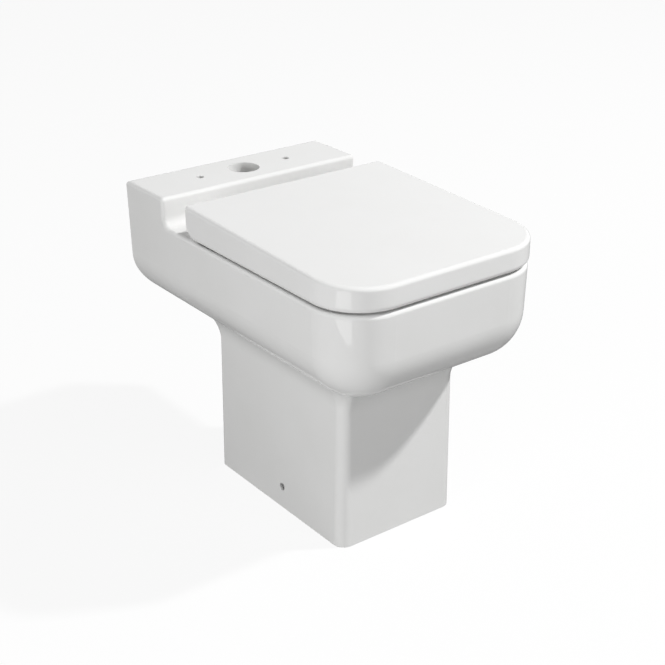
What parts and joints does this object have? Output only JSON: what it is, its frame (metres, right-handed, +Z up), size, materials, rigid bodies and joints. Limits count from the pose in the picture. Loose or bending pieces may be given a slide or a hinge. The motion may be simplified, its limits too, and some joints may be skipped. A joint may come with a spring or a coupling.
{
  "type": "close coupled toilet pan",
  "caption": "Squared close coupled toilet pan on a narrower pedestal, with a raised cistern platform, a wrap-over lid and a lift-off seat on push-button hinges",
  "frame": {"origin": "Centre of the closed object's bounding box in plan, on the floor", "axes": "+Z up, front of the bowl towards -Y, cistern platform towards +Y, X across"},
  "size_m": [0.36, 0.554, 0.4678],
  "materials": {
    "glaze": "smooth white glaze",
    "seat_plastic": "glossy white thermoset",
    "hinge_plastic": "satin off-white",
    "button_plastic": "satin grey",
    "bearing_plastic": "natural white",
    "damper_plastic": "dark grey",
    "bracket_plastic": "mid grey",
    "steel": "turned stainless",
    "rubber": "black rubber",
    "buffer_rubber": "pale grey rubber"
  },
  "bodies": {
    "pan": {"pan_body": "glaze", "pan_bowl": "glaze", "trapway": "glaze", "flush_duct": "glaze", "rear_upstand": "glaze", "cistern_platform": "glaze", "hinge_post_left": "steel", "hinge_post_right": "steel", "hinge_gaskets": "rubber", "hinge_hole_bushes": "rubber", "hinge_washers": "bearing_plastic", "hinge_nuts": "steel", "floor_bracket_left": "bracket_plastic", "floor_bracket_right": "bracket_plastic", "side_fixing_screws": "steel", "side_screw_sleeves": "bracket_plastic"},
    "hinge_blocks": {"hinge_block_left": "hinge_plastic", "hinge_block_right": "hinge_plastic", "hinge_pin_left": "steel", "hinge_pin_right": "steel", "release_clip_left": "steel", "release_clip_right": "steel"},
    "seat": {"seat_ring": "seat_plastic", "seat_buffers": "buffer_rubber", "seat_bush": "bearing_plastic", "seat_damper": "damper_plastic"},
    "lid": {"seat_lid": "seat_plastic", "lid_buffers": "buffer_rubber", "lid_bush": "bearing_plastic", "lid_damper": "damper_plastic"},
    "button_left": {"release_button_left": "button_plastic"},
    "button_right": {"release_button_right": "button_plastic"}
  },
  "joints": [
    {"name": "seat_lift_off", "type": "slide", "parent": "pan", "child": "hinge_blocks", "axis": [0, 0, 1], "range_m": [0, 0.04], "deforming": ["release_clip_left", "release_clip_right"]},
    {"name": "seat_hinge", "type": "hinge", "parent": "hinge_blocks", "child": "seat", "pos_m": [0, 0.088, 0.441], "axis": [1, 0, 0], "range_deg": [-95, 0]},
    {"name": "lid_hinge", "type": "hinge", "parent": "seat", "child": "lid", "pos_m": [0, 0.088, 0.441], "axis": [-1, 0, 0], "range_deg": [0, 95]},
    {"name": "release_left", "type": "slide", "parent": "hinge_blocks", "child": "button_left", "axis": [0, -1, 0], "range_m": [0, 0.002], "stiffness_N_per_m": 500, "springref_m": -0.001},
    {"name": "release_right", "type": "slide", "parent": "hinge_blocks", "child": "button_right", "axis": [0, -1, 0], "range_m": [0, 0.002], "stiffness_N_per_m": 500, "springref_m": -0.001}
  ]
}
